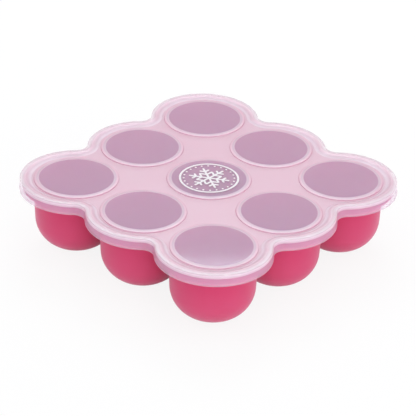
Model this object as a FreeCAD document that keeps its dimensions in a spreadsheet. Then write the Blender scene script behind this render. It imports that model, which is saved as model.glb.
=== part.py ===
"""Freezer tray for baby food: nine cups in one soft moulding, under a clip-on lid.

Millimetres, +Z up. The origin is on the ground under the middle cup, so the cups'
flat feet stand on Z = 0. The tray and the lid are two silicone mouldings, and the
mark on the middle panel of the lid is a thin layer of ink.
"""
import FreeCAD
import Part
import math
import os
import Sketcher

SIZES = (
    # layout of the cups
    ("pitch", 67.0),
    ("scallop_reach", 49.4),        # from a cup's axis to the middle of the valley beside it
    # cups
    ("cup_top_radius", 30.8),
    ("cup_corner_radius", 22.8),    # round between the wall and the foot
    ("cup_foot_radius", 7.0),
    ("cup_wall", 2.0),
    ("mouth_bevel", 0.6),
    # deck and rim of the tray
    ("deck_top", 50.6),
    ("deck_thickness", 2.2),
    ("rim_top", 52.0),
    ("rim_bottom", 46.5),
    ("rim_radius", 38.5),
    ("rim_width", 2.0),
    ("rim_round", 0.7),
    # lid: the border runs over the rim, and the skirt hangs outside it
    ("lid_top", 53.8),
    ("lid_wall", 1.6),
    ("lid_radius", 40.5),
    ("border_width", 6.0),
    ("border_round", 1.5),
    ("plate_top", 52.4),
    ("skirt_bottom", 45.1),
    ("lip_overhang", 0.5),
    ("lip_thickness", 1.5),
    ("lip_round", 0.4),
    # round panels of the lid, one over each cup
    ("panel_top", 53.3),
    ("panel_radius", 27.3),
    ("panel_foot_radius", 30.4),
    ("panel_inset", 0.6),           # how much narrower the hollow under a panel is
    # printed mark: a ring and a circle of dots around a six-armed snowflake
    ("ink_thickness", 0.15),
    ("ink_width", 1.5),
    ("ink_end", 0.75),              # round end of a stroke, half its width
    ("ring_radius", 21.6),
    ("dot_circle", 18.2),
    ("dot_radius", 0.7),
    ("arm_length", 14.2),
    ("inner_twig_at", 5.4),
    ("inner_twig_length", 4.8),
    ("outer_twig_at", 9.6),
    ("outer_twig_length", 3.4),
)
TWIG_ANGLE = 60.0
ARMS = 6
DOTS = 24
ORIGIN = (-1, 1)                    # the sketch's own origin, as constraints name it
X_AXIS = -1
Y_AXIS = -2
START, END, CENTRE = 1, 2, 3        # the points of a line or an arc, as constraints name them
UP = FreeCAD.Vector(0, 0, 1)

doc = FreeCAD.newDocument("freezer_tray")
sheet = doc.addObject("Spreadsheet::Sheet", "Sizes")
for row, (alias, value) in enumerate(SIZES, start=1):
    sheet.set(f"A{row}", alias)
    sheet.set(f"B{row}", str(value))
    sheet.setAlias(f"B{row}", alias)
doc.recompute()


def in_sheet(formula):
    """A sum of cell names, with the sheet's name put before each cell."""
    return " ".join(word if word in "+-" else f"Sizes.{word}" for word in formula.split())


def value_of(formula):
    """The same sum in millimetres, for the first shape of a sketch."""
    total = 0.0
    sign = 1.0
    for word in formula.split():
        if word in "+-":
            sign = 1.0 if word == "+" else -1.0
        else:
            total += sign * float(sheet.get(word))
    return total


def new_body(name):
    body = doc.addObject("PartDesign::Body", name)
    body.Label = name
    return body


def origin_feature(body, role):
    return next(feature for feature in body.Origin.OriginFeatures if feature.Role == role)


def new_sketch(body, name, plane, offset):
    """A sketch parallel to one of the body's planes, at an offset along its normal."""
    sketch = body.newObject("Sketcher::SketchObject", name)
    sketch.AttachmentSupport = [(origin_feature(body, plane), "")]
    sketch.MapMode = "FlatFace"
    sketch.setExpression("AttachmentOffset.Base.z", in_sheet(offset))
    sketch.Visibility = False
    return sketch


def constrain(sketch, kind, *references):
    sketch.addConstraint(Sketcher.Constraint(kind, *references))


def dimension(sketch, name, kind, references, formula):
    """A dimension that takes its value from the sheet."""
    index = sketch.addConstraint(Sketcher.Constraint(kind, *references, value_of(formula)))
    sketch.renameConstraint(index, name)
    sketch.setExpression(f"Constraints.{name}", in_sheet(formula))


def hold_on_grid(sketch, name, kind, axis, arc, steps):
    """Put an arc's centre on an axis, or one pitch to the side of it that steps gives."""
    if steps == 0:
        constrain(sketch, "PointOnObject", arc, CENTRE, axis)
    elif steps > 0:
        dimension(sketch, name, kind, (*ORIGIN, arc, CENTRE), "pitch")
    else:
        dimension(sketch, name, kind, (arc, CENTRE, *ORIGIN), "pitch")


def arc_between(centre, first, last):
    """The anticlockwise arc about a centre, from one point's direction to another's."""
    start = math.atan2(first.y - centre.y, first.x - centre.x)
    end = math.atan2(last.y - centre.y, last.x - centre.x)
    if end <= start:
        end += 2 * math.pi
    return start, end


def add_scallops(sketch, name, base, outset):
    """Add the closed outline round all nine cups at base plus outset from their axes.

    Eight lobes follow the outer cups, and a smaller arc fills the valley between each
    two of them. Lobes and valleys keep their centres, so the outlines run parallel.
    """
    pitch = value_of("pitch")
    reach = value_of("scallop_reach")
    lobe_radius = value_of(f"{base} {outset}")
    valley_depth = math.sqrt(reach ** 2 - (pitch / 2) ** 2)
    steps = ((-1, -1), (0, -1), (1, -1), (1, 0), (1, 1), (0, 1), (-1, 1), (-1, 0))
    lobes = [FreeCAD.Vector(column * pitch, line * pitch, 0) for column, line in steps]
    valleys = []
    for here, there in zip(lobes, lobes[1:] + lobes[:1]):
        along = (there - here).normalize()
        outward = FreeCAD.Vector(along.y, -along.x, 0)
        valleys.append((here + there) * 0.5 + outward * valley_depth)

    lobe_arcs = []
    valley_arcs = []
    for number, lobe in enumerate(lobes):
        following = lobes[(number + 1) % len(lobes)]
        ends = arc_between(lobe, valleys[number - 1], valleys[number])
        circle = Part.Circle(lobe, UP, lobe_radius)
        lobe_arcs.append(sketch.addGeometry(Part.ArcOfCircle(circle, *ends)))
        ends = arc_between(valleys[number], following, lobe)
        circle = Part.Circle(valleys[number], UP, reach - lobe_radius)
        valley_arcs.append(sketch.addGeometry(Part.ArcOfCircle(circle, *ends)))

    for number, (column, line) in enumerate(steps):
        lobe = lobe_arcs[number]
        valley = valley_arcs[number]
        constrain(sketch, "Tangent", lobe, END, valley, END)
        constrain(sketch, "Tangent", valley, START, lobe_arcs[(number + 1) % len(steps)], START)
        hold_on_grid(sketch, f"{name}_x{number}", "DistanceX", Y_AXIS, lobe, column)
        hold_on_grid(sketch, f"{name}_y{number}", "DistanceY", X_AXIS, lobe, line)
        if number > 0:
            constrain(sketch, "Equal", lobe_arcs[0], lobe)
            constrain(sketch, "Equal", valley_arcs[0], valley)
    mirrored = outset.replace("-", "~").replace("+", "-").replace("~", "+")
    dimension(sketch, f"{name}_lobe", "Radius", (lobe_arcs[0],), f"{base} {outset}")
    dimension(sketch, f"{name}_valley", "Radius", (valley_arcs[0],), f"scallop_reach - {base} {mirrored}")


def scalloped(body, kind, name, start, length, outer, inner=None, upward=True):
    """Pad or pocket a scalloped plate, or a band of one where an inner outline is given.

    It runs from the height called start, up or down by length. An outline is a pair:
    the cell of its radius, and a sum that is added to it.
    """
    sketch = new_sketch(body, f"{name}_outline", "XY_Plane", start)
    add_scallops(sketch, "outer", *outer)
    if inner:
        add_scallops(sketch, "inner", *inner)
    feature = body.newObject(f"PartDesign::{kind}", name)
    feature.Profile = sketch
    feature.setExpression("Length", in_sheet(length))
    feature.Reversed = upward if kind == "Pocket" else not upward
    doc.recompute()
    return feature


def corner_cup_sketch(body, name):
    """An upright sketch through the first corner cup, whose axis is the sketch's own Y axis."""
    sketch = new_sketch(body, f"{name}_profile", "XZ_Plane", "pitch")
    sketch.setExpression("AttachmentOffset.Base.x", "-Sizes.pitch")
    return sketch


def turned(body, kind, name, sketch):
    """Revolve the profile of the first corner cup, then repeat it for all nine cups."""
    feature = body.newObject(f"PartDesign::{kind}", name)
    feature.Profile = sketch
    feature.ReferenceAxis = (sketch, ["V_Axis"])
    feature.Angle = 360
    doc.recompute()
    grid = body.newObject("PartDesign::LinearPattern", f"{name}_grid")
    grid.Originals = [feature]
    grid.Direction = (origin_feature(body, "X_Axis"), [""])
    grid.Direction2 = (origin_feature(body, "Y_Axis"), [""])
    for number in ("", "2"):
        grid.setExpression(f"Length{number}", "2 * Sizes.pitch")
        setattr(grid, f"Occurrences{number}", 3)
    body.Tip = grid
    doc.recompute()
    return grid


def closed_profile(sketch, corners):
    """Join corners into a closed loop of lines. The last line lies on the axis of turning."""
    points = [FreeCAD.Vector(across, height, 0) for across, height in corners]
    lines = []
    for here, there in zip(points, points[1:] + points[:1]):
        lines.append(sketch.addGeometry(Part.LineSegment(here, there)))
    constrain(sketch, "PointOnObject", lines[-1], START, Y_AXIS)
    constrain(sketch, "PointOnObject", lines[-1], END, Y_AXIS)
    return lines


def panel_profile(body, name, low, high, inset):
    """Half of a flat cone: the radii of a panel, less an inset, between two heights."""
    foot_radius = f"panel_foot_radius {inset}"
    top_radius = f"panel_radius {inset}"
    sketch = corner_cup_sketch(body, name)
    foot, top = value_of(foot_radius), value_of(top_radius)
    floor, roof = value_of(low), value_of(high)
    lines = closed_profile(sketch, ((0, floor), (foot, floor), (top, roof), (0, roof)))
    for here, there in zip(lines, lines[1:] + lines[:1]):
        constrain(sketch, "Coincident", here, END, there, START)
    constrain(sketch, "Horizontal", lines[0])
    constrain(sketch, "Horizontal", lines[2])
    dimension(sketch, "foot", "DistanceX", (lines[0], START, lines[0], END), foot_radius)
    dimension(sketch, "top", "DistanceX", (lines[2], END, lines[2], START), top_radius)
    dimension(sketch, "low", "DistanceY", (*ORIGIN, lines[0], START), low)
    dimension(sketch, "high", "DistanceY", (*ORIGIN, lines[2], START), high)
    return sketch


def cup_profile(body, name, top, inset):
    """Half of a cup: foot, round corner and sloping wall up to the height called top.

    The inset draws the inside of the cup, whose foot lies that much above the ground.
    """
    top_radius = f"cup_top_radius {inset}"
    corner_radius = f"cup_corner_radius {inset}"
    sketch = corner_cup_sketch(body, name)
    rim, roof = value_of(top_radius), value_of(top)
    foot, corner = value_of("cup_foot_radius"), value_of(corner_radius)
    lift = value_of("cup_corner_radius")
    lines = closed_profile(sketch, ((0, lift - corner), (foot, lift - corner), (rim, roof), (0, roof)))
    floor, wall, lid, axis = lines
    circle = Part.Circle(FreeCAD.Vector(foot, lift, 0), UP, corner)
    arc = sketch.addGeometry(Part.ArcOfCircle(circle, -math.pi / 2, 0))
    constrain(sketch, "Tangent", floor, END, arc, START)
    constrain(sketch, "Tangent", arc, END, wall, START)
    constrain(sketch, "Coincident", wall, END, lid, START)
    constrain(sketch, "Coincident", lid, END, axis, START)
    constrain(sketch, "Coincident", axis, END, floor, START)
    constrain(sketch, "Horizontal", floor)
    constrain(sketch, "Horizontal", lid)
    dimension(sketch, "corner", "Radius", (arc,), corner_radius)
    dimension(sketch, "foot", "DistanceX", (floor, START, floor, END), "cup_foot_radius")
    dimension(sketch, "rim", "DistanceX", (lid, END, lid, START), top_radius)
    dimension(sketch, "lift", "DistanceY", (*ORIGIN, arc, CENTRE), "cup_corner_radius")
    dimension(sketch, "roof", "DistanceY", (*ORIGIN, lid, START), top)
    return sketch


def eased(body, kind, name, base, edges, size):
    """Fillet or Chamfer the edges of the last feature that the edges function picks."""
    names = [f"Edge{number}" for number, edge in enumerate(base.Shape.Edges, start=1) if edges(edge)]
    feature = body.newObject(f"PartDesign::{kind}", name)
    feature.Base = (base, names)
    feature.setExpression("Radius" if kind == "Fillet" else "Size", in_sheet(size))
    doc.recompute()
    return feature


def lies_at(edge, height):
    """Whether a whole edge lies at one height."""
    box = edge.BoundBox
    level = value_of(height)
    return abs(box.ZMin - level) < 0.001 and abs(box.ZMax - level) < 0.001


def follows_outline(edge, radius):
    """Whether an edge is a lobe or a valley of the outline at this radius."""
    if not isinstance(edge.Curve, Part.Circle):
        return False
    lobe = value_of(radius)
    valley = value_of("scallop_reach") - lobe
    return min(abs(edge.Curve.Radius - lobe), abs(edge.Curve.Radius - valley)) < 0.001


def build_tray():
    """The soft tray: a deck with nine cups, and a thicker rim that stands above it."""
    body = new_body("tray")
    rim_outside = ("rim_radius", "")
    rim_inside = ("rim_radius", "- rim_width")
    scalloped(body, "Pad", "rim", "rim_bottom", "rim_top - rim_bottom", rim_outside)
    scalloped(body, "Pocket", "deck_recess", "rim_top", "rim_top - deck_top", rim_inside, upward=False)
    scalloped(body, "Pocket", "underside", "rim_bottom", "deck_top - deck_thickness - rim_bottom", rim_inside)
    turned(body, "Revolution", "cup_outside", cup_profile(body, "cup_outside", "deck_top", ""))
    hollow = turned(body, "Groove", "cup_inside", cup_profile(body, "cup_inside", "deck_top", "- cup_wall"))
    mouth = value_of("cup_top_radius - cup_wall")
    mouths = eased(
        body, "Chamfer", "mouths", hollow,
        lambda edge: lies_at(edge, "deck_top") and abs(edge.Curve.Radius - mouth) < 0.1, "mouth_bevel")
    eased(
        body, "Fillet", "rim_edges", mouths,
        lambda edge: (lies_at(edge, "rim_top") or lies_at(edge, "rim_bottom"))
        and follows_outline(edge, "rim_radius"), "rim_round")
    return body


def build_lid():
    """The lid: a thin plate with nine raised panels, a raised border and a skirt with a lip."""
    body = new_body("lid")
    outside = ("lid_radius", "")
    inside = ("lid_radius", "- lid_wall")
    border_inside = ("lid_radius", "- border_width")
    channel_inside = ("lid_radius", "- border_width + lid_wall")
    scalloped(body, "Pad", "blank", "skirt_bottom", "lid_top - skirt_bottom", outside)
    scalloped(body, "Pocket", "plate_recess", "lid_top", "lid_top - plate_top", border_inside, upward=False)
    scalloped(body, "Pocket", "skirt_space", "skirt_bottom", "plate_top - lid_wall - skirt_bottom", inside)
    scalloped(
        body, "Pocket", "rim_channel", "plate_top - lid_wall", "lid_top - plate_top", inside, channel_inside)
    lip = scalloped(
        body, "Pad", "lip", "skirt_bottom", "lip_thickness", ("lid_radius", "+ lip_overhang"), inside)
    border = eased(
        body, "Fillet", "border_edge", lip,
        lambda edge: lies_at(edge, "lid_top") and follows_outline(edge, "lid_radius"), "border_round")
    eased(
        body, "Fillet", "lip_edges", border,
        lambda edge: follows_outline(edge, "lid_radius + lip_overhang"), "lip_round")
    panels = panel_profile(body, "panels", "plate_top", "panel_top", "")
    turned(body, "Revolution", "panels", panels)
    hollows = panel_profile(body, "hollows", "plate_top - lid_wall", "panel_top - lid_wall", "- panel_inset")
    turned(body, "Groove", "hollows", hollows)
    return body


def ink_pad(body, name, sketch):
    """Raise a layer of ink from a sketch on the middle panel."""
    pad = body.newObject("PartDesign::Pad", name)
    pad.Profile = sketch
    pad.setExpression("Length", in_sheet("ink_thickness"))
    doc.recompute()
    return pad


def ink_circles(body, name, circles):
    """A pad from circles on the X axis, each named and given by its place along it and its radius."""
    sketch = new_sketch(body, f"{name}_outline", "XY_Plane", "panel_top")
    for label, along, radius in circles:
        middle = FreeCAD.Vector(value_of(along) if along else 0, 0, 0)
        circle = sketch.addGeometry(Part.Circle(middle, UP, value_of(radius)))
        if along:
            constrain(sketch, "PointOnObject", circle, CENTRE, X_AXIS)
            dimension(sketch, f"{label}_at", "DistanceX", (*ORIGIN, circle, CENTRE), along)
        else:
            constrain(sketch, "Coincident", circle, CENTRE, *ORIGIN)
        dimension(sketch, label, "Radius", (circle,), radius)
    return ink_pad(body, name, sketch)


def ink_stroke(body, name, along, length, angle):
    """A stroke with a round end. It starts on the first arm, this far along it, and leaves it at an angle."""
    sketch = new_sketch(body, f"{name}_outline", "XY_Plane", "panel_top")
    if along:
        sketch.setExpression("AttachmentOffset.Base.x", in_sheet(along))
    sketch.setExpression("AttachmentOffset.Rotation.Angle", f"{angle}")
    far, side = value_of(length), value_of("ink_end")
    near_low, far_low, far_high, near_high = (
        FreeCAD.Vector(*corner, 0) for corner in ((0, -side), (far, -side), (far, side), (0, side)))
    low = sketch.addGeometry(Part.LineSegment(near_low, far_low))
    circle = Part.Circle(FreeCAD.Vector(far, 0, 0), UP, side)
    tip = sketch.addGeometry(Part.ArcOfCircle(circle, -math.pi / 2, math.pi / 2))
    high = sketch.addGeometry(Part.LineSegment(far_high, near_high))
    root = sketch.addGeometry(Part.LineSegment(near_high, near_low))
    constrain(sketch, "Tangent", low, END, tip, START)
    constrain(sketch, "Tangent", tip, END, high, START)
    constrain(sketch, "Coincident", high, END, root, START)
    constrain(sketch, "Coincident", root, END, low, START)
    constrain(sketch, "Symmetric", root, START, root, END, *ORIGIN)
    constrain(sketch, "Vertical", root)
    constrain(sketch, "Horizontal", low)
    dimension(sketch, "length", "DistanceX", (low, START, low, END), length)
    dimension(sketch, "tip", "Radius", (tip,), "ink_end")
    return ink_pad(body, name, sketch)


def around(body, name, originals, count):
    """Repeat features evenly about the middle of the mark."""
    pattern = body.newObject("PartDesign::PolarPattern", name)
    pattern.Originals = originals
    pattern.Axis = (origin_feature(body, "Z_Axis"), [""])
    pattern.Angle = 360
    pattern.Occurrences = count
    body.Tip = pattern
    doc.recompute()


def build_centre_print():
    """The mark on the middle panel: a ring of ink, a circle of dots and a snowflake."""
    body = new_body("centre_print")
    body.AllowCompound = True
    ink_circles(body, "ring", (("outside", "", "ring_radius"), ("inside", "", "ring_radius - ink_width")))
    dot = ink_circles(body, "dot", (("dot", "dot_circle", "dot_radius"),))
    around(body, "dots", [dot], DOTS)
    strokes = [ink_stroke(body, "arm", None, "arm_length", 0)]
    for place in ("inner", "outer"):
        for side, angle in (("left", TWIG_ANGLE), ("right", -TWIG_ANGLE)):
            name = f"{place}_{side}_twig"
            strokes.append(ink_stroke(body, name, f"{place}_twig_at", f"{place}_twig_length", angle))
    around(body, "arms", strokes, ARMS)
    return body


bodies = [build_tray(), build_lid(), build_centre_print()]
doc.recompute()

for item in doc.Objects:
    if "Invalid" in item.State or "Error" in item.State:
        raise RuntimeError(f"{item.Name} did not compute: {item.State}")
for body in bodies:
    if body.Shape.isNull() or not body.Shape.isValid():
        raise RuntimeError(f"{body.Label} has no valid shape")

os.makedirs("parts", exist_ok=True)
for body in bodies:
    body.Shape.exportStep(f"parts/{body.Label}.step")
    box = body.Shape.BoundBox
    print(
        f"{body.Label}: {len(body.Shape.Solids)} solid(s), {body.Shape.Volume / 1000:.1f} cm3, "
        f"x {box.XMin:.2f} to {box.XMax:.2f}, z {box.ZMin:.2f} to {box.ZMax:.2f}")
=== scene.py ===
"""A soft nine-cup freezer tray for baby food under its clip-on lid, on a pale floor.

Metres, +Z up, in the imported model's own frame: the cups stand on Z = 0, and the middle
cup's axis is X = Y = 0.
"""
import math

import bpy
import numpy as np
from mathutils import Matrix, Vector


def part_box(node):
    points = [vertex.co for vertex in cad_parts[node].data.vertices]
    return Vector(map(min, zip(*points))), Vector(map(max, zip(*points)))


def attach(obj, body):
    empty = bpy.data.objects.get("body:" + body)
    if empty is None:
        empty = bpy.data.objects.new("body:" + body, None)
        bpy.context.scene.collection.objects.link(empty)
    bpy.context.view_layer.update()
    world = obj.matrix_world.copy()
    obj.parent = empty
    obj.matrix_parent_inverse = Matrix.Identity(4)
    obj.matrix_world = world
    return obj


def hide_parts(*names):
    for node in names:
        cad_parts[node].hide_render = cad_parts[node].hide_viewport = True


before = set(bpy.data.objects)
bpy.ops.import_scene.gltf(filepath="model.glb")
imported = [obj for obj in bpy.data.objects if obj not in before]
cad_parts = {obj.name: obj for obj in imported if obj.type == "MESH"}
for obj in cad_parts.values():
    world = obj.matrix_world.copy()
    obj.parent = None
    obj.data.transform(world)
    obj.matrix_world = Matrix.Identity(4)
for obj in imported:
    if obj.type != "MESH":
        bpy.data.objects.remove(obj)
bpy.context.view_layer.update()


# ---- Tray -----------------------------------------------------------------------------
# One soft moulding of deep pink silicone: a deck with nine round cups hanging from it,
# and a thicker rim that follows the cups in scallops. It comes out of the mould with a
# satin surface that is a little uneven, and it bounces light inside its skin.

MILLIMETRE = 0.001
PITCH = 67.0 * MILLIMETRE                  # between the axes of two cups
VALLEY_REACH = 49.4 * MILLIMETRE           # from a cup's axis to the centre of a valley's arc
VALLEY_OUT = math.sqrt(VALLEY_REACH ** 2 - (PITCH / 2) ** 2)
# The eight outer cups, anticlockwise from the front left corner.
OUTER_CUPS = PITCH * np.array([(-1, -1), (0, -1), (1, -1), (1, 0), (1, 1), (0, 1), (-1, 1), (-1, 0)], float)
LOBE_STEPS = 56                            # points along each lobe of the outline
VALLEY_STEPS = 10                          # points along half a valley
SIDE_STEPS = 12                            # points along a straight side between two cells
OUTER_STEPS = LOBE_STEPS + 2 * VALLEY_STEPS

DECK_TOP = 50.6 * MILLIMETRE
DECK_UNDERSIDE = 48.4 * MILLIMETRE
CUP_TOP_RADIUS = 30.8 * MILLIMETRE
CUP_CORNER_RADIUS = 22.8 * MILLIMETRE      # round between the wall and the foot
CUP_FOOT_RADIUS = 7.0 * MILLIMETRE
CUP_WALL = 2.0 * MILLIMETRE
RIM_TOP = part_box("tray")[1].z
RIM_BOTTOM = 46.5 * MILLIMETRE
RIM_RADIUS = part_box("tray")[1].x - PITCH
RIM_WIDTH = 2.0 * MILLIMETRE
DECK_EDGE_RADIUS = 35.5 * MILLIMETRE       # where the deck's own grid stops and the rim's begins


def scallops():
    """Anchors A and outward directions D of the outline round the nine cups.

    The outline at lobe radius R is A + R * D. On a lobe A is the cup's axis and D turns
    about it. In a valley A = V + reach * E and D = -E, where V is the valley's centre and
    E turns about it, so that the outlines of all radii run parallel.
    """
    following = np.roll(OUTER_CUPS, -1, axis=0)
    along = (following - OUTER_CUPS) / PITCH
    outward = np.stack((along[:, 1], -along[:, 0]), axis=1)
    valleys = (OUTER_CUPS + following) / 2 + outward * VALLEY_OUT

    def turn(centres, first, last, steps, way):
        start = np.arctan2(*(first - centres).T[::-1])
        end = np.arctan2(*(last - centres).T[::-1])
        sweep = way * ((way * (end - start)) % (2 * math.pi))
        angles = start[:, None] + sweep[:, None] * np.arange(steps) / steps
        return np.stack((np.cos(angles), np.sin(angles)), axis=-1)

    on_lobe = turn(OUTER_CUPS, np.roll(valleys, 1, axis=0), valleys, LOBE_STEPS, 1)
    in_valley = turn(valleys, OUTER_CUPS, following, 2 * VALLEY_STEPS, -1)
    anchors = np.concatenate((
        np.broadcast_to(OUTER_CUPS[:, None], on_lobe.shape),
        valleys[:, None] + VALLEY_REACH * in_valley), axis=1)
    directions = np.concatenate((on_lobe, -in_valley), axis=1)
    return anchors.reshape(-1, 2), directions.reshape(-1, 2)


ANCHORS, DIRECTIONS = scallops()


def cell_edges(radius):
    """The edge of each cup's cell, anticlockwise, with the outline at one lobe radius.

    A cell is the square of one pitch round a cup, cut off at the outline on its outer sides.
    """
    outline = ANCHORS + radius * DIRECTIONS
    crossings = OUTER_CUPS / 2             # rows 0, 2, 4 and 6 are where four cells meet
    cells = []
    for number, axis in enumerate(OUTER_CUPS):
        first = number * OUTER_STEPS - VALLEY_STEPS
        outer = outline[np.arange(first, first + OUTER_STEPS + 1) % len(outline)]
        inner = [crossings[number]] if number % 2 == 0 else [
            crossings[(number + 1) % 8], crossings[number - 1]]
        stops = [outer[-1], *inner, outer[0]]
        sides = [np.linspace(a, b, SIDE_STEPS, endpoint=False) for a, b in zip(stops, stops[1:])]
        cells.append((axis, np.concatenate([outer[:-1], *sides])))
    stops = crossings[[0, 2, 4, 6, 0]]
    sides = [np.linspace(a, b, SIDE_STEPS, endpoint=False) for a, b in zip(stops, stops[1:])]
    cells.append((np.zeros(2), np.concatenate(sides)))
    return cells


def rounded(corners, steps=5):
    """A line through (radius, height) corners, each given its own round in a third number.

    A round of radius q on a corner between unit directions a and b has its centre at
    q / sin(half the angle) along a + b, and its points turn evenly about that centre.
    """
    corners = np.array(corners, float)
    points = [corners[:1, :2]]
    for before, (x, z, q), after in zip(corners, corners[1:-1], corners[2:]):
        here = np.array((x, z))
        if q == 0:
            points.append(here[None])
            continue
        a = (before[:2] - here) / np.linalg.norm(before[:2] - here)
        b = (after[:2] - here) / np.linalg.norm(after[:2] - here)
        half = math.acos(np.clip(a @ b, -1, 1)) / 2
        centre = here + (a + b) / np.linalg.norm(a + b) * q / math.sin(half)
        start = here + a * q / math.tan(half) - centre
        end = here + b * q / math.tan(half) - centre
        turn = math.pi - 2 * half
        share = np.linspace(0, 1, steps + 1)[:, None]
        swung = np.sin((1 - share) * turn) * start + np.sin(share * turn) * end
        points.append(centre + swung / math.sin(turn))
    points.append(corners[-1:, :2])
    return np.concatenate(points)


def grid_faces(rows, columns):
    """Four-sided faces between the points of a grid whose columns close on themselves."""
    here = np.arange(rows * columns).reshape(rows, columns)
    beside = np.roll(here, -1, axis=1)
    return np.stack((here[:-1], here[1:], beside[1:], beside[:-1]), axis=-1).reshape(-1, 4)


def cell_surface(axis, edge, rings, spread=4):
    """One cell: a pole, rings of given (radius, height), then a spread out to its edge.

    Point = axis + r * direction of the edge point. Past the last ring r grows evenly from
    that ring to the edge, at the last ring's height.
    """
    reach = np.linalg.norm(edge - axis, axis=1)
    direction = (edge - axis) / reach[:, None]
    share = np.arange(1, spread + 1)[:, None] / spread
    last_radius, last_height = rings[-1]
    radii = np.concatenate((
        np.repeat(rings[:, :1], len(edge), axis=1), last_radius + share * (reach - last_radius)))
    heights = np.concatenate((rings[:, 1], np.full(spread, last_height)))
    flat = axis + radii[..., None] * direction
    flat[-1] = edge
    heights = np.broadcast_to(heights[:, None, None], (*radii.shape, 1))
    reaches = np.minimum(radii, PITCH / 2)[..., None]
    points = np.concatenate((flat, heights, reaches), axis=2)
    pole = np.array([[*axis, rings[0, 1], 0]])
    quads = grid_faces(*radii.shape) + 1
    ring = np.arange(len(edge)) + 1
    fan = np.stack((np.zeros_like(ring), ring, np.roll(ring, -1)), axis=1)
    return np.concatenate((pole, points.reshape(-1, 4))), quads, fan


def moulding(name, top_rings, border, under_rings):
    """A closed shell: nine cells above, nine below, and a border swept round the outline.

    The border is a profile of (lobe radius, height) from the edge of the top cells round
    the outside to the edge of the lower ones: point = A + radius * D at that height.
    The attribute reach is the distance from the cup's axis, and on the border the radius.
    """
    parts = []
    for axis, edge in cell_edges(border[0, 0]):
        parts.append(cell_surface(axis, edge, top_rings))
    for axis, edge in cell_edges(border[-1, 0]):
        points, quads, fan = cell_surface(axis, edge, under_rings)
        parts.append((points, quads[:, ::-1], fan[:, ::-1]))
    flat = ANCHORS + border[:, :1, None] * DIRECTIONS
    radii, heights = (np.broadcast_to(column[:, None, None], (*flat.shape[:2], 1)) for column in border.T)
    swept = np.concatenate((flat, heights, radii), axis=2).reshape(-1, 4)
    parts.append((swept, grid_faces(len(border), len(ANCHORS)), np.zeros((0, 3), int)))

    starts = np.cumsum([0] + [len(points) for points, _, _ in parts])
    points = np.concatenate([points for points, _, _ in parts])
    quads = np.concatenate([quads + start for (_, quads, _), start in zip(parts, starts)])
    fans = np.concatenate([fan + start for (_, _, fan), start in zip(parts, starts)])
    weld = 0.001 * MILLIMETRE              # points closer than this become one
    cells = np.round(points[:, :3] / weld).astype(int)
    _, keep, index = np.unique(cells, axis=0, return_index=True, return_inverse=True)
    index = index.ravel()
    mesh = bpy.data.meshes.new(name)
    mesh.from_pydata(points[keep, :3].tolist(), [], index[quads].tolist() + index[fans].tolist())
    reach = mesh.attributes.new("reach", "FLOAT", "POINT")
    reach.data.foreach_set("value", points[keep, 3].astype(np.float32))
    mesh.validate()
    mesh.shade_smooth()
    piece = bpy.data.objects.new(name, mesh)
    bpy.context.scene.collection.objects.link(piece)
    return piece


def cup_line(inset, arc_steps=16):
    """Half of a cup in (radius, height): flat foot, round corner and straight wall.

    The corner is a circle about (foot radius, corner radius). The wall leaves it on the
    tangent that ends at the cup's top radius on the deck. The first point is halfway out
    on the foot. The line stops where the wall starts, and the wall's top comes with it.
    """
    centre = np.array((CUP_FOOT_RADIUS, CUP_CORNER_RADIUS))
    corner = CUP_CORNER_RADIUS - inset
    top = np.array((CUP_TOP_RADIUS - inset, DECK_TOP))
    away = top - centre
    last = math.atan2(away[1], away[0]) - math.acos(corner / np.linalg.norm(away))
    angles = np.linspace(-math.pi / 2, last, arc_steps + 1)
    arc = centre + corner * np.stack((np.cos(angles), np.sin(angles)), axis=1)
    foot = np.array([(CUP_FOOT_RADIUS * 0.5, inset)])
    return np.concatenate((foot, arc)), top


def with_wall(line, top, turns, shares=(0.35, 0.7)):
    """A cup line led up its wall, and then through rounded corners.

    The first turn is the (height, round) where the wall ends. The others are whole corners.
    Points stand on the wall at the given shares of its height.
    """
    high, round_radius = turns[0]
    climb = high - line[-1][1]
    along = (top - line[-1]) / (top[1] - line[-1][1])
    wall = line[-1] + along * (np.array(shares)[:, None] * climb)
    end = line[-1] + along * climb
    turn = rounded([(*wall[-1], 0), (*end, round_radius), *turns[1:]])[1:]
    return np.concatenate((line, wall, turn))


BEAD_TOP = 51.8 * MILLIMETRE               # a low bead stands round each mouth, just under the lid
BEAD_EDGE_RADIUS = 29.7 * MILLIMETRE
BEAD_FOOT_RADIUS = 29.9 * MILLIMETRE
DECK_START_RADIUS = 31.0 * MILLIMETRE      # from here out the deck is flat above
DECK_UNDER_START_RADIUS = 32.6 * MILLIMETRE  # and from here below
RIM_INSIDE = RIM_RADIUS - RIM_WIDTH

tray_top = with_wall(*cup_line(CUP_WALL), [
    (BEAD_TOP, 0.4 * MILLIMETRE),
    (BEAD_EDGE_RADIUS, BEAD_TOP, 0.4 * MILLIMETRE),
    (BEAD_FOOT_RADIUS, DECK_TOP, 0.3 * MILLIMETRE),
    (DECK_START_RADIUS, DECK_TOP, 0)])
tray_under = with_wall(*cup_line(0.0), [
    (DECK_UNDERSIDE, 1.0 * MILLIMETRE),
    (DECK_UNDER_START_RADIUS, DECK_UNDERSIDE, 0)])
tray_border = rounded([
    (DECK_EDGE_RADIUS, DECK_TOP, 0),
    (RIM_INSIDE, DECK_TOP, 0.4 * MILLIMETRE),
    (RIM_INSIDE, RIM_TOP, 0.5 * MILLIMETRE),
    (RIM_RADIUS, RIM_TOP, 0.7 * MILLIMETRE),
    (RIM_RADIUS, RIM_BOTTOM, 0.7 * MILLIMETRE),
    (RIM_INSIDE, RIM_BOTTOM, 0.3 * MILLIMETRE),
    (RIM_INSIDE, DECK_UNDERSIDE, 0.5 * MILLIMETRE),
    (DECK_EDGE_RADIUS, DECK_UNDERSIDE, 0)])
tray = moulding("cup_tray", tray_top, tray_border, tray_under)


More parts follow.
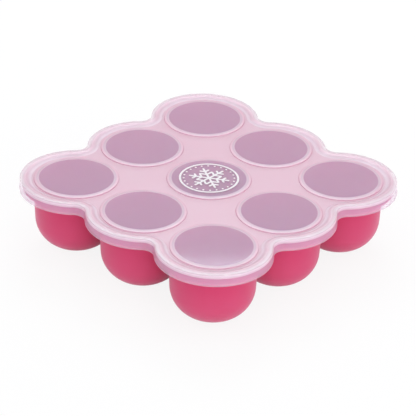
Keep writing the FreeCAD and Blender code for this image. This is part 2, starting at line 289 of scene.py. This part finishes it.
class Signal:
    """A value that varies over a surface. Arithmetic on it adds Math nodes to its finish."""

    def __init__(self, finish, socket):
        self.finish = finish
        self.socket = socket

    def maths(self, operation, *values):
        return self.finish.node("ShaderNodeMath", {"operation": operation}, dict(enumerate(values)))

    def __add__(self, other):
        return self.maths("ADD", self, other)

    def __sub__(self, other):
        return self.maths("SUBTRACT", self, other)

    def __rsub__(self, other):
        return self.maths("SUBTRACT", other, self)

    def __mul__(self, other):
        return self.maths("MULTIPLY", self, other)

    __radd__ = __add__
    __rmul__ = __mul__


class Finish:
    """A material made of nodes, with one Principled surface."""

    def __init__(self, name, **surface):
        self.material = bpy.data.materials.new(name)
        self.material.use_nodes = True
        self.tree = self.material.node_tree
        self.tree.nodes.clear()
        self.surface = self.node("ShaderNodeBsdfPrincipled", {}, surface, output="BSDF")
        self.node("ShaderNodeOutputMaterial", {}, {"Surface": self.surface}, output=None)

    def node(self, kind, settings, inputs, output=0):
        """Add a node of a kind: its settings first, then its sockets' values or links."""
        node = self.tree.nodes.new(kind)
        for name, value in settings.items():
            setattr(node, name, value)
        self.feed(node, inputs)
        return None if output is None else Signal(self, node.outputs[output])

    def feed(self, node, inputs):
        for name, value in inputs.items():
            socket = node.inputs[name]
            if isinstance(value, Signal):
                self.tree.links.new(value.socket, socket)
            else:
                socket.default_value = value

    def set(self, **inputs):
        """Link varying inputs of the Principled surface. An underscore stands for a space."""
        self.feed(self.surface.socket.node, {name.replace("_", " "): value for name, value in inputs.items()})

    def place(self):
        """Object coordinates, which are the part's own metres."""
        return self.node("ShaderNodeTexCoord", {}, {}, output="Object")

    def height(self):
        return self.node("ShaderNodeSeparateXYZ", {}, {"Vector": self.place()}, output="Z")

    def reach(self):
        """How far a point lies from its cup's axis, or its radius on the border."""
        return self.node("ShaderNodeAttribute", {"attribute_name": "reach"}, {}, output="Fac")

    def noise(self, scale, detail):
        """Noise from 0 to 1, in grains of about 1 / scale metres."""
        return self.node("ShaderNodeTexNoise", {}, {"Vector": self.place(), "Scale": scale, "Detail": detail})

    def ramp(self, value, start, end, first, last):
        """A smooth step from a first to a last value as a signal goes from start to end."""
        return self.node(
            "ShaderNodeMapRange", {"interpolation_type": "SMOOTHSTEP"},
            {"Value": value, 1: start, 2: end, 3: first, 4: last})

    def rising(self, value, start, end):
        return self.ramp(value, start, end, 0.0, 1.0)

    def falling(self, value, start, end):
        return self.ramp(value, start, end, 1.0, 0.0)

    def band(self, value, middle, half):
        """A hump from 0 up to 1 and back as a signal passes a middle value."""
        return self.rising(value, middle - half, middle) * self.falling(value, middle, middle + half)

    def blend(self, factor, first, second):
        """A colour between two colours."""
        return self.node(
            "ShaderNodeMix", {"data_type": "RGBA"}, {0: factor, 6: first, 7: second}, output=2)

    def bumps(self, height, distance):
        return self.node(
            "ShaderNodeBump", {}, {"Strength": 1.0, "Distance": distance, "Height": height})


pink = Finish(
    "pink silicone",
    **{"Subsurface Weight": 0.2, "Subsurface Radius": (0.004, 0.0012, 0.0016), "Subsurface Scale": 1.0,
       "Specular IOR Level": 0.25, "Sheen Weight": 0.4, "Sheen Roughness": 0.4,
       "Sheen Tint": (0.95, 0.85, 0.97, 1.0)})
# The cups are painted paler towards the foot. This painted sheen stands for the white floor's reflection and
# bounce light. Under the rim, where shade falls, they keep the deep pink.
DEEP_PINK = (0.67, 0.051, 0.159, 1.0)
PINK_WITH_PAINTED_SHEEN = (0.71, 0.089, 0.207, 1.0)
PAINTED_SHEEN_FROM = 46.0 * MILLIMETRE              # the painted sheen grows on the cups from this height down to the next
PAINTED_SHEEN_TO = 8.0 * MILLIMETRE
PAINTED_SHEEN_SWING = 6.0 * MILLIMETRE              # the clouding shifts where the painted sheen changes, within this height
SMOOTHEST = 0.42
ROUGHEST = 0.52
SATIN_DEPTH = 0.03 * MILLIMETRE
clouding = pink.noise(38.0, detail=3.0)
satin = pink.noise(1500.0, detail=2.0)
painted_floor_sheen = pink.rising(pink.height() + (clouding - 0.5) * PAINTED_SHEEN_SWING, PAINTED_SHEEN_FROM, PAINTED_SHEEN_TO)
pink.set(
    Base_Color=pink.blend(painted_floor_sheen, DEEP_PINK, PINK_WITH_PAINTED_SHEEN),
    Roughness=pink.ramp(clouding + satin * 0.3, 0.3, 0.9, SMOOTHEST, ROUGHEST),
    Normal=pink.bumps(satin, SATIN_DEPTH))
tray.data.materials.append(pink.material)
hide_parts("tray")
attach(tray, "tray")


# ---- Lid ------------------------------------------------------------------------------
# A thinner moulding of milky silicone: a plate with a raised round window over each cup,
# a raised border over the tray's rim, and a skirt with a lip to pull it off by. The mould
# is polished at the windows and matt everywhere else.

LID_WALL = 1.6 * MILLIMETRE
LID_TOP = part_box("lid")[1].z
LIP_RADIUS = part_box("lid")[1].x - PITCH
LIP_OVERHANG = 0.5 * MILLIMETRE
LIP_THICKNESS = 1.5 * MILLIMETRE
SKIRT_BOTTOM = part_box("lid")[0].z
LIP_TOP = SKIRT_BOTTOM + LIP_THICKNESS
SKIRT_RADIUS = LIP_RADIUS - LIP_OVERHANG
SKIRT_INSIDE = SKIRT_RADIUS - LID_WALL
SKIRT_PULLED_IN = 0.1 * MILLIMETRE         # the skirt leans: in at its top and out at its foot
SKIRT_FLARE = 0.2 * MILLIMETRE
PLATE_TOP = 52.4 * MILLIMETRE
PLATE_UNDERSIDE = PLATE_TOP - LID_WALL
PLATE_EDGE_RADIUS = 31.3 * MILLIMETRE      # where the plate's own grid stops and the border's begins
SLOPE_FOOT_RADIUS = 32.1 * MILLIMETRE      # the plate slopes up to the border between these
SLOPE_TOP_RADIUS = 35.1 * MILLIMETRE
BORDER_WIDTH = 6.0 * MILLIMETRE
CHANNEL_INSIDE = SKIRT_RADIUS - BORDER_WIDTH + LID_WALL  # the channel under the border takes the rim
CHANNEL_ROOF = LID_TOP - LID_WALL
WINDOW_TOP = 53.3 * MILLIMETRE
WINDOW_RADIUS = 27.3 * MILLIMETRE
WINDOW_FALL = 0.2 * MILLIMETRE             # how much a window's top rounds off before its step
WINDOW_FOOT_RADIUS = 30.4 * MILLIMETRE
STEP_HALF = 0.05 * MILLIMETRE              # half the width of the step at a window's foot
PLATE_START_RADIUS = 31.0 * MILLIMETRE     # from here out the plate is flat above
PLATE_UNDER_START_RADIUS = 31.1 * MILLIMETRE  # and from here below
WINDOW_WALL = 0.85 * MILLIMETRE
HOLLOW_RADIUS = 26.9 * MILLIMETRE          # a window is thin inside this
HOLLOW_EDGE_HEIGHT = 51.8 * MILLIMETRE
HOLLOW_FOOT_RADIUS = 30.8 * MILLIMETRE


def window_rings(corners, shares=(0.2, 0.4, 0.6, 0.75), last_share=0.9):
    """A flat round window, and then the rounded corners (radius, height, round) of its edge.

    The flat has a ring of points at each of the given shares of the first corner's radius.
    """
    top, level = corners[0][:2]
    flat = np.stack((top * np.array(shares), np.full(len(shares), level)), axis=1)
    return np.concatenate((flat, rounded([(top * last_share, level, 0), *corners])))


window_over = window_rings([
    (WINDOW_RADIUS, WINDOW_TOP, 8.0 * MILLIMETRE),
    (WINDOW_FOOT_RADIUS - STEP_HALF, WINDOW_TOP - WINDOW_FALL, 0.2 * MILLIMETRE),
    (WINDOW_FOOT_RADIUS + STEP_HALF, PLATE_TOP, 0.2 * MILLIMETRE),
    (PLATE_START_RADIUS, PLATE_TOP, 0)])
window_under = window_rings([
    (HOLLOW_RADIUS, WINDOW_TOP - WINDOW_WALL, 2.0 * MILLIMETRE),
    (WINDOW_FOOT_RADIUS, HOLLOW_EDGE_HEIGHT, 0.3 * MILLIMETRE),
    (HOLLOW_FOOT_RADIUS, PLATE_UNDERSIDE, 0.2 * MILLIMETRE),
    (PLATE_UNDER_START_RADIUS, PLATE_UNDERSIDE, 0)])
lid_border = rounded([
    (PLATE_EDGE_RADIUS, PLATE_TOP, 0),
    (SLOPE_FOOT_RADIUS, PLATE_TOP, 3.0 * MILLIMETRE),
    (SLOPE_TOP_RADIUS, LID_TOP, 5.5 * MILLIMETRE),
    (SKIRT_RADIUS - SKIRT_PULLED_IN, LID_TOP, 0.8 * MILLIMETRE),
    (SKIRT_RADIUS + SKIRT_FLARE, LIP_TOP + 0.5 * MILLIMETRE, 0.3 * MILLIMETRE),
    (LIP_RADIUS, LIP_TOP - 0.3 * MILLIMETRE, 0.2 * MILLIMETRE),
    (LIP_RADIUS, SKIRT_BOTTOM, 0.5 * MILLIMETRE),
    (SKIRT_INSIDE, SKIRT_BOTTOM, 0.3 * MILLIMETRE),
    (SKIRT_INSIDE, CHANNEL_ROOF, 0.5 * MILLIMETRE),
    (CHANNEL_INSIDE, CHANNEL_ROOF, 0.4 * MILLIMETRE),
    (CHANNEL_INSIDE, PLATE_UNDERSIDE, 0.5 * MILLIMETRE),
    (PLATE_EDGE_RADIUS, PLATE_UNDERSIDE, 0)])
lid = moulding("lid_cover", window_over, lid_border, window_under)

# Alpha weakens the shine along with the colour, and the high IOR brings the shine back.
milky = Finish(
    "milky silicone",
    **{"Subsurface Weight": 1.0, "Subsurface Radius": (0.0009, 0.0009, 0.0009), "Subsurface Scale": 1.0,
       "IOR": 1.9})

# Masks from 0 to 1, each for one region of the lid. Radii are from a cup's axis, and the
# last four values are heights.
CREASE_RADIUS = WINDOW_FOOT_RADIUS - 0.1 * MILLIMETRE
CREASE_HALF = 0.3 * MILLIMETRE
TOPSIDE_FROM = 28.2 * MILLIMETRE
TOPSIDE_TO = 29.2 * MILLIMETRE
SLOPE_MIDDLE = 33.0 * MILLIMETRE
SLOPE_HALF = 2.5 * MILLIMETRE
EDGE_FROM = 35.4 * MILLIMETRE
EDGE_TO = 39.4 * MILLIMETRE
SKIRT_FROM = 38.6 * MILLIMETRE
SKIRT_TO = 38.9 * MILLIMETRE
SKIRT_TOP = 50.8 * MILLIMETRE              # the skirt ends and the border's edge begins between these
EDGE_BOTTOM = 51.4 * MILLIMETRE
SIDE_FROM = 53.0 * MILLIMETRE              # the border's side gives way to its top between these
SIDE_TO = 53.7 * MILLIMETRE
out = milky.reach()
height = milky.height()
frosted = milky.rising(out, WINDOW_RADIUS - 1.0 * MILLIMETRE, WINDOW_RADIUS - 0.1 * MILLIMETRE)
crease = milky.band(out, CREASE_RADIUS, CREASE_HALF)
skirt = milky.rising(out, SKIRT_FROM, SKIRT_TO) * milky.falling(height, SKIRT_TOP, EDGE_BOTTOM)
topside = milky.rising(out, TOPSIDE_FROM, TOPSIDE_TO) * milky.rising(
    height, PLATE_TOP - 0.2 * MILLIMETRE, PLATE_TOP - 0.1 * MILLIMETRE)
slope = milky.band(out, SLOPE_MIDDLE, SLOPE_HALF) * milky.rising(
    height, PLATE_TOP + 0.01 * MILLIMETRE, PLATE_TOP + 0.12 * MILLIMETRE)
edge = milky.rising(out, EDGE_FROM, EDGE_TO) * milky.rising(height, SKIRT_TOP, EDGE_BOTTOM)
side = milky.falling(height, SIDE_FROM, SIDE_TO)
lip = milky.falling(height, LIP_TOP - 0.4 * MILLIMETRE, LIP_TOP + 0.2 * MILLIMETRE)
haze = milky.noise(25.0, detail=3.0) - 0.5
grain = milky.noise(1700.0, detail=2.0)

# The crease at each window's foot is painted deep pink: painted shade in the crease.
WINDOW_LILAC = (0.88, 0.68, 1.0, 1.0)
INNER_MILK = (0.90, 0.76, 0.89, 1.0)
PLATE_MILK = (0.95, 0.69, 0.80, 1.0)
# The slope up to the border is painted lighter, to cancel the shade that falls on it.
SLOPE_PAINTED_LIGHTER = (1.0, 0.81, 0.91, 1.0)
CREASE_PAINTED_SHADE = (1.0, 0.52, 0.70, 1.0)
# The border's outer top is painted darker, to hold back the highlight rendered there. Its rounded side is
# painted lighter, as a painted highlight.
EDGE_TOP_PAINTED_DIMMER = (0.82, 0.72, 0.78, 1.0)
EDGE_SIDE_PAINTED_HIGHLIGHT = (1.0, 0.79, 0.90, 1.0)
# The skirt takes some of the tray's pink: it is painted pink for the rim behind it, which is in shade, seen
# through the milk.
SKIRT_PAINTED_RIM_PINK = (1.0, 0.62, 0.86, 1.0)
# The lip also takes some of the tray's pink, and is painted paler: a painted highlight along it.
LIP_PAINTED_HIGHLIGHT = (1.0, 0.76, 0.90, 1.0)
plain = milky.blend(frosted, WINDOW_LILAC, INNER_MILK)
topped = milky.blend(topside, plain, milky.blend(slope, PLATE_MILK, SLOPE_PAINTED_LIGHTER))
creased = milky.blend(crease, topped, CREASE_PAINTED_SHADE)
edged = milky.blend(edge, creased, milky.blend(side, EDGE_TOP_PAINTED_DIMMER, EDGE_SIDE_PAINTED_HIGHLIGHT))

# A window hides least of what is under it. Each region adds to that, or takes away.
WINDOW_HIDES = 0.31
FROSTING_ADDS = 0.14
TOPSIDE_ADDS = 0.10
SLOPE_ADDS = 0.13
CREASE_TAKES = 0.05
EDGE_ADDS = 0.07
SIDE_ADDS = 0.17
SKIRT_TAKES = 0.12
HAZE_ADDS = 0.02
WINDOW_ROUGHNESS = 0.05
FROSTING_ROUGHENS = 0.25
EDGE_SMOOTHS = 0.08
HAZE_ROUGHENS = 0.02
GRAIN_DEPTH = 0.02 * MILLIMETRE
grain_shows = frosted * 0.9 - edge * 0.7 + 0.1
milky.set(
    Base_Color=milky.blend(skirt, edged, milky.blend(lip, SKIRT_PAINTED_RIM_PINK, LIP_PAINTED_HIGHLIGHT)),
    Roughness=(WINDOW_ROUGHNESS + frosted * FROSTING_ROUGHENS
               - edge * EDGE_SMOOTHS + haze * HAZE_ROUGHENS),
    Alpha=(WINDOW_HIDES + frosted * FROSTING_ADDS
           + topside * (slope * SLOPE_ADDS - crease * CREASE_TAKES + TOPSIDE_ADDS)
           + edge * (side * SIDE_ADDS + EDGE_ADDS) - skirt * SKIRT_TAKES + haze * HAZE_ADDS),
    Normal=milky.bumps(grain * grain_shows, GRAIN_DEPTH))
lid.data.materials.append(milky.material)
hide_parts("lid")
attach(lid, "lid")


# ---- Centre print ---------------------------------------------------------------------
# A ring, a circle of dots and a six-armed snowflake, pad-printed in opaque white ink on
# the middle window. The ink lies a little proud, and is slightly thin in places.

ink = Finish("white ink", **{"IOR": 1.45})
THIN_INK = (0.76, 0.73, 0.77, 1.0)
FULL_INK = (0.82, 0.81, 0.83, 1.0)
ink_cover = ink.noise(900.0, detail=3.0)
ink.set(
    Base_Color=ink.blend(ink.rising(ink_cover, 0.35, 0.6), THIN_INK, FULL_INK),
    Roughness=ink.ramp(ink_cover, 0.3, 0.7, 0.45, 0.6))
centre_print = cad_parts["centre_print"]
centre_print.data.materials.clear()
centre_print.data.materials.append(ink.material)


# ---- Studio ---------------------------------------------------------------------------
# A white floor under an even sky, with soft boxes overhead, low in front, and behind the
# tray. Floor and sky look whiter to the camera than the light that they give the tray.

FLOOR_HALF = 3.0
floor_mesh = bpy.data.meshes.new("studio_floor")
floor_mesh.from_pydata(
    [(-FLOOR_HALF, -FLOOR_HALF, 0), (FLOOR_HALF, -FLOOR_HALF, 0), (FLOOR_HALF, FLOOR_HALF, 0),
     (-FLOOR_HALF, FLOOR_HALF, 0)], [], [(0, 1, 2, 3)])
floor = bpy.data.objects.new("studio_floor", floor_mesh)
bpy.context.scene.collection.objects.link(floor)

SEEN_WHITENESS = 0.88                      # what is left of the floor's own look holds the shadow
MIRRORED_WHITENESS = 0.6
paper = Finish("white paper", **{"Base Color": (0.92, 0.92, 0.93, 1.0), "Roughness": 0.9})
seen = paper.node("ShaderNodeLightPath", {}, {}, output="Is Camera Ray")
mirrored = paper.node("ShaderNodeLightPath", {}, {}, output="Is Glossy Ray")
glow = paper.node(
    "ShaderNodeEmission", {}, {"Color": (1.0, 1.0, 1.0, 1.0), "Strength": 1.0}, output="Emission")
whiteness = seen * SEEN_WHITENESS + mirrored * MIRRORED_WHITENESS
mixed = paper.node("ShaderNodeMixShader", {}, {0: whiteness, 1: paper.surface, 2: glow}, output="Shader")
paper.tree.links.new(mixed.socket, paper.tree.nodes["Material Output"].inputs["Surface"])
floor_mesh.materials.append(paper.material)

world = bpy.data.worlds.new("studio")
bpy.context.scene.world = world
world.use_nodes = True
sky_tree = world.node_tree
sky = sky_tree.nodes["Background"]
sky.inputs["Color"].default_value = (1.0, 0.98, 0.99, 1.0)
sky.inputs["Strength"].default_value = 0.78
backdrop = sky_tree.nodes.new("ShaderNodeBackground")
backdrop.inputs["Color"].default_value = (1.0, 1.0, 1.0, 1.0)
backdrop.inputs["Strength"].default_value = 1.0
looked_at = sky_tree.nodes.new("ShaderNodeLightPath").outputs["Is Camera Ray"]
either = sky_tree.nodes.new("ShaderNodeMixShader")
for socket, source in zip(either.inputs, (looked_at, sky.outputs[0], backdrop.outputs[0])):
    sky_tree.links.new(source, socket)
sky_tree.links.new(either.outputs[0], sky_tree.nodes["World Output"].inputs["Surface"])


def direction_to(azimuth, elevation):
    """The way from the tray to a place, in degrees. Azimuth 0 is in front, on the -Y side."""
    turn, rise = math.radians(azimuth), math.radians(elevation)
    return Vector((math.sin(turn) * math.cos(rise), -math.cos(turn) * math.cos(rise), math.sin(rise)))


def soft_box(name, azimuth, elevation, distance, size, power, colour=(1.0, 1.0, 1.0)):
    """A square lamp that faces the tray."""
    back = direction_to(azimuth, elevation)
    lamp = bpy.data.lights.new(name, "AREA")
    lamp.size = size
    lamp.energy = power
    lamp.color = colour
    holder = bpy.data.objects.new(name, lamp)
    holder.location = back * distance
    holder.rotation_euler = back.to_track_quat("Z", "Y").to_euler()
    bpy.context.scene.collection.objects.link(holder)


soft_box("overhead_box", -30.0, 80.0, 1.2, 0.6, 1.5)
soft_box("front_fill", -20.0, 12.0, 1.4, 1.0, 4.6)
# This one faces the camera. Its lower edge is mirrored in the nearest window and border.
soft_box("back_box", 132.0, 49.3, 1.6, 0.85, 7.5, (0.82, 0.95, 1.0))

# The camera looks from above the front left corner of the tray. It is turned so that the
# middle window's centre lies at one place in the frame, which is counted in pixels.
CAMERA_AZIMUTH = -47.9475
CAMERA_ELEVATION = 28.6862
CAMERA_ROLL = math.radians(1.8776)
CAMERA_DISTANCE = 1.5236
FRAME_PIXELS = 416.0
FOCAL_PIXELS = 2127.5
WINDOW_AT = (208.09, 178.04)
SENSOR = 36.0

back = direction_to(CAMERA_AZIMUTH, CAMERA_ELEVATION)
right = (-back).cross(Vector((0, 0, 1))).normalized()
upright = Matrix((right, back.cross(right), back)).transposed()
yaw = math.atan((WINDOW_AT[0] - FRAME_PIXELS / 2) / FOCAL_PIXELS)
tilt = math.atan((WINDOW_AT[1] - FRAME_PIXELS / 2) / FOCAL_PIXELS * math.cos(yaw))
aimed = (
    upright @ Matrix.Rotation(yaw, 3, "Y")
    @ Matrix.Rotation(tilt, 3, "X") @ Matrix.Rotation(CAMERA_ROLL, 3, "Z"))
standing = Vector((0, 0, WINDOW_TOP)) + back * CAMERA_DISTANCE
camera = bpy.data.cameras.new("camera")
camera.sensor_width = SENSOR
camera.lens = FOCAL_PIXELS / FRAME_PIXELS * SENSOR
camera.clip_start = 0.05
camera.clip_end = 20.0
camera_holder = bpy.data.objects.new("camera", camera)
camera_holder.matrix_world = Matrix.Translation(standing) @ aimed.to_4x4()
bpy.context.scene.collection.objects.link(camera_holder)
bpy.context.scene.camera = camera_holder
bpy.context.scene.view_settings.view_transform = "Standard"
